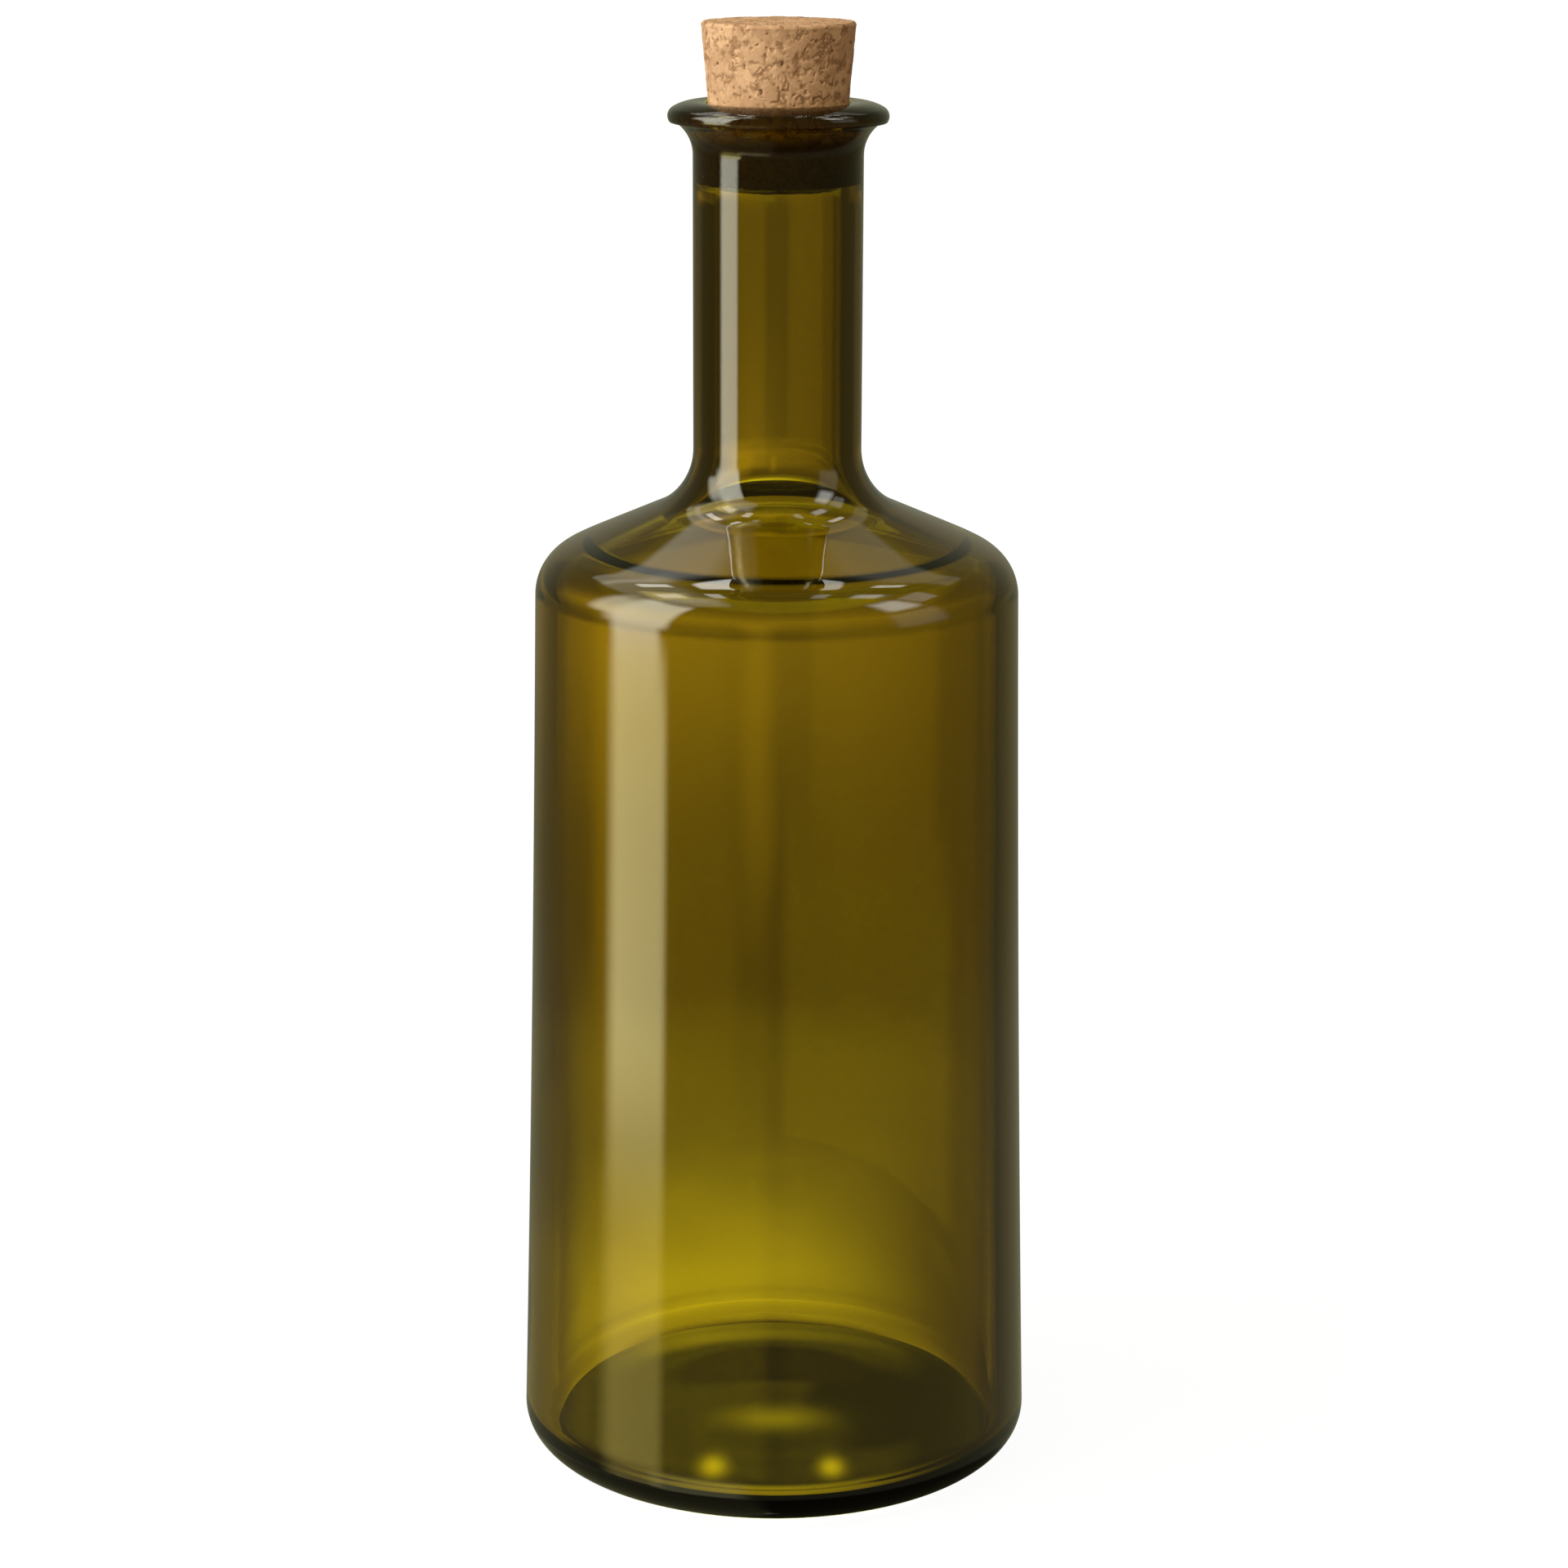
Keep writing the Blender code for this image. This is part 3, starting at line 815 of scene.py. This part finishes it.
# %% Lights seen through the glass
wall_lights = {
    "dim room": box(0.12, -190, 190, -95, 95),
    "wall": box(0.2, -21, 20, -12, 16, (5, 4, 2, 6)),
    "foot of the wall": box(0.23, -60, 34, -35, -11.8, (20, 30, 7, 1.0)),
    "pool of light": glow(0.78, -12, -12.5, 16, 2.2),
    "streak of light": glow(0.28, -8, -17, 3.2, 6),
    "above the pool": glow(0.14, -4, -9.5, 5, 1.8),
    "wall at the left": box(0.18, -22, -4.3, -19.8, -12.5, (8, 1.5, 1.5, 1.5)),
    "thin streak": box(0.28, -1.1, -0.2, -16.5, -12.8, (0.8, 0.8, 3, 1)),
    "far wall, left": box(2.6, -160, -80, -17.5, 2, (10, 14, 3, 8)),
    "far wall, right": box(0.65, 66, 150, -17.5, -2, (10, 10, 3, 6)),
}
table_lights = {
    "edge of the table": box(0.25, -60, 10, -35, -18.7, (20, 16, 7, 1.4)),
    "table": box(0.48, -60, 4, -35, -21.2, (20, 7, 7, 2.4)),
    "lamplight on the table": glow(1.6, -3, -23.8, 6.5, 2.0),
    "lamplight nearer": glow(1.0, -3.5, -27.5, 6, 3.8),
    "lamplight at the left": glow(0.78, -13, -23.5, 8, 1.6),
    "table under the bottle": box(0.9, -190, 190, -95, -64, (4, 4, 4, 6)),
    "ceiling lamp": box(1.2, -17, 6, 17, 36, (4, 3, 6, 6)),
    "ceiling": box(1.2, -90, 90, 34, 66, (30, 30, 6, 8)),
    "overhead": box(5.0, -190, 190, 62, 95, (4, 4, 8, 4)),
    "table at the left": box(3.2, -175, -66, -24.5, -17.5, (10, 20, 3, 3)),
    "table at the right": box(1.1, 64, 175, -24.5, -17.5, (14, 10, 3, 3)),
}
seen_through = coloured([((1.0, 0.78, 0.5), wall_lights), ((1.0, 1.05, 0.6), table_lights)])

# %% Lights for matt surfaces, such as the cork
key_lights = {
    "softbox": box(4.0, -140, -98, -15, 46, (10, 10, 11, 10)),
    "softbox, upper half": box(0.9, -131, -84, 12, 44, (4, 14, 16, 12)),
    "softbox, turned away": box(2.6, -96, -66, 10, 42, (14, 12, 12, 14)),
    "ceiling": pane(0.15, -1.2, 0.9, -0.3, 1.3, 0.1),
}
fill_lights = {
    "front of the room": box(1.4, -178, -126, -5, 50, (16, 16, 10, 14)),
    "window": box(2.2, 88, 128, 31, 54, (6, 6, 5, 6)),
    "room": box(0.17, -190, 190, -95, 95),
}
on_matt = coloured([((1.0, 1.05, 1.05), key_lights), ((1.0, 0.84, 0.62), fill_lights)])

# %% Four backgrounds by the kind of ray
path = add_node(sky, "ShaderNodeLightPath").outputs
lit = add_node(sky, "ShaderNodeBackground")
plug(sky, lit.inputs["Color"], on_matt)
for ray, light in (("Is Glossy Ray", mirrored), ("Is Transmission Ray", seen_through), ("Is Camera Ray", (1.0,) * 4)):
    background = add_node(sky, "ShaderNodeBackground")
    plug(sky, background.inputs["Color"], light)
    either = add_node(sky, "ShaderNodeMixShader", label=ray)
    plug(sky, either.inputs["Fac"], path[ray])
    plug(sky, either.inputs[1], lit.outputs[0])
    plug(sky, either.inputs[2], background.outputs[0])
    lit = either
plug(sky, add_node(sky, "ShaderNodeOutputWorld").inputs["Surface"], lit.outputs[0])
print("studio:", len(sky.nodes), "nodes")

# %% [markdown]
# ## The floor
# The floor is pale enough to melt into the backdrop, with only a breath of shadow. A glass base would show it as a
# white plate, though the table under the foot lies in the bottle's shade, so the floor is hidden from the glass, and a
# small dark mat lies under the foot instead, as painted shade. The bottle also gathers light into bright patches on
# the table beneath it. Cycles would need far too many samples to find them, so they are drawn on the mat as soft
# glows of painted light, which the base then bends.


# %% Floor, and a mat of painted shade
def flat_disc(name, radius, height, finish):
    """A round sheet on the table."""
    mesh = bpy.data.meshes.new(name)
    turns = [math.tau * i / 96 for i in range(96)]
    mesh.from_pydata([(radius * math.cos(a), radius * math.sin(a), height) for a in turns], [], [tuple(range(96))])
    mesh.materials.append(finish)
    disc = bpy.data.objects.new(name, mesh)
    bpy.context.scene.collection.objects.link(disc)
    return disc


def plain_finish(name, colour, glow_strength):
    """A matt colour with some light of its own."""
    finish = bpy.data.materials.new(name)
    finish.use_nodes = True
    shader = finish.node_tree.nodes["Principled BSDF"]
    shader.inputs["Base Color"].default_value = (*colour, 1.0)
    shader.inputs["Roughness"].default_value = 0.9
    shader.inputs["Emission Color"].default_value = (1.0, 1.0, 1.0, 1.0)
    shader.inputs["Emission Strength"].default_value = glow_strength
    return finish


floor = flat_disc("floor", 30.0, -0.4 * MM, plain_finish("pale_paper", (0.05, 0.05, 0.05), 0.96))
# Painted shade: the mat is black, for the table in the bottle's shade, and gets painted light of its own below.
mat_finish = plain_finish("lit_mat", (0.0, 0.0, 0.0), 1.0)
mat_finish.cycles.emission_sampling = "NONE"
mat = flat_disc("mat", 44 * MM, -0.2 * MM, mat_finish)
for ray_kind in ("transmission", "glossy", "diffuse", "volume_scatter"):
    setattr(floor, "visible_" + ray_kind, False)
mat.visible_camera = False

# %% Bright patches of painted light on the mat
tree = mat_finish.node_tree
mat_place = add_node(tree, "ShaderNodeTexCoord").outputs["Object"]
spot_parts = add_node(tree, "ShaderNodeSeparateXYZ")
plug(tree, spot_parts.inputs[0], mat_place)
mat_x, mat_y, _ = spot_parts.outputs
FALL = 1 / math.e  # what is left of a patch one width away from its middle
# Painted light: the whole mat glows faintly, for the dim table in the bottle's shade.
MAT_GLOW = 0.07  # all over the mat


def patch(strength, x, y, width, depth):
    """A soft bright patch of painted light on the mat, all in millimetres."""
    across = maths(tree, "MULTIPLY", maths(tree, "SUBTRACT", mat_x, x * MM), 1 / (width * MM))
    along = maths(tree, "MULTIPLY", maths(tree, "SUBTRACT", mat_y, y * MM), 1 / (depth * MM))
    squares = maths(tree, "MULTIPLY_ADD", along, along, maths(tree, "MULTIPLY", across, across))
    return times(tree, maths(tree, "POWER", FALL, squares), strength)


reach = add_node(tree, "ShaderNodeVectorMath", operation="LENGTH")
plug(tree, reach.inputs[0], mat_place)
rim = step(tree, reach.outputs["Value"], 33 * MM, 38 * MM)
# Painted light: each patch stands in for light that the bottle gathers onto the table.
behind_and_before = [patch(1.3, -18, 36, 18, 12), patch(0.6, 8, 38, 22, 12), patch(1.8, 0, -42, 34, 12)]
two_spots = [patch(3.4, -11.2, -24.8, 2.3, 5.0), patch(3.4, 10.6, -24.9, 2.1, 4.5)]
middle = patch(1.3, 0.2, -0.6, 8.5, 5.6)
lit_mat = MAT_GLOW
for brightness in [times(tree, rim, shine) for shine in behind_and_before] + two_spots + [middle]:
    lit_mat = maths(tree, "ADD", lit_mat, brightness)
mat_skin = tree.nodes["Principled BSDF"]
mat_skin.inputs["Emission Color"].default_value = (1.0, 1.07, 0.6, 1.0)
plug(tree, mat_skin.inputs["Emission Strength"], lit_mat)

# %% [markdown]
# ## Colour and light paths
# Colours stay as they are lit, without a film curve. A ray that looks down into the base crosses a dozen walls of
# glass on its way, so it is given enough bounces to come out again.

# %% Colour and light paths
scene = bpy.context.scene
scene.view_settings.view_transform = "Standard"
scene.cycles.max_bounces = 24
scene.cycles.transmission_bounces = 24
scene.cycles.glossy_bounces = 12
scene.cycles.use_denoising = True
